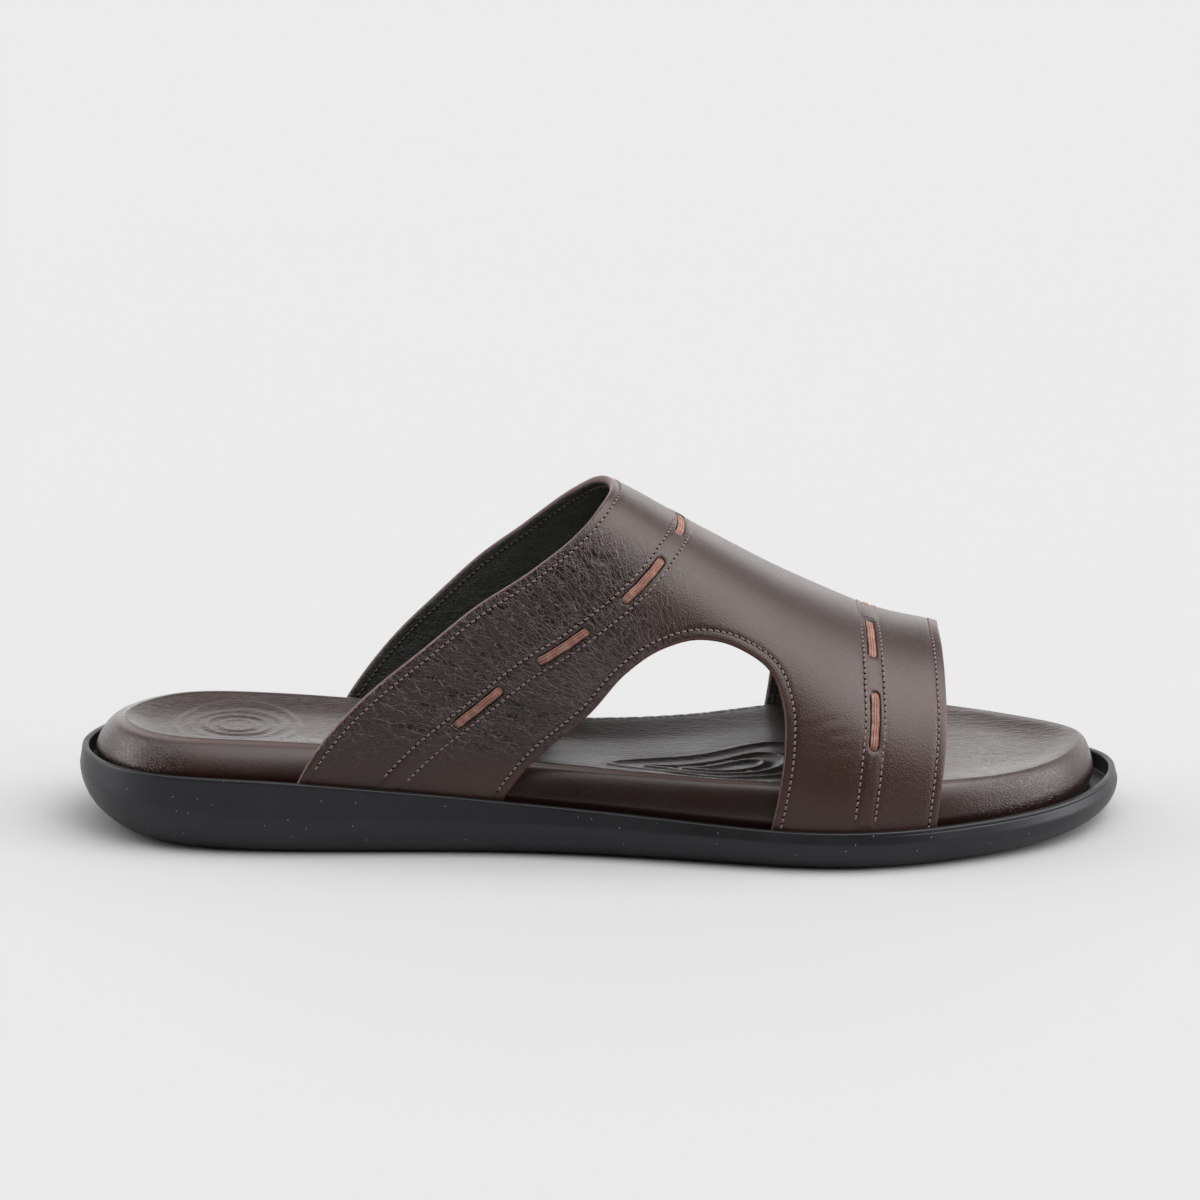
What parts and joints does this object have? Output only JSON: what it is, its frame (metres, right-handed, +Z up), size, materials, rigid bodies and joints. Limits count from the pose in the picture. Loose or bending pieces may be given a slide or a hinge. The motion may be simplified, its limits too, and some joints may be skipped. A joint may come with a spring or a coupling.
{
  "type": "slide sandal",
  "caption": "Backless leather slide: cup outsole, padded footbed, one wide upper with an arched cut-out on each side and slotted lace trim.",
  "frame": {"origin": "on the floor, under the middle of the outsole", "axes": "+X to the toe, +Y to the inner side of the foot, +Z up"},
  "size_m": [0.29, 0.1018, 0.0979],
  "materials": {
    "outsole": "black, satin",
    "footbed": "dark brown, polished",
    "upper": "dark brown, fine grain, soft sheen",
    "lace": "reddish brown, matt"
  },
  "bodies": {
    "root": {"outsole": "outsole", "footbed": "footbed", "upper": "upper", "instep_lace_bar_1": "lace", "instep_lace_bar_2": "lace", "instep_lace_bar_3": "lace", "instep_lace_bar_4": "lace", "instep_lace_bar_5": "lace", "instep_lace_bar_6": "lace", "instep_lace_bar_7": "lace", "toe_lace_bar_1": "lace", "toe_lace_bar_2": "lace", "toe_lace_bar_3": "lace", "toe_lace_bar_4": "lace"}
  },
  "joints": []
}
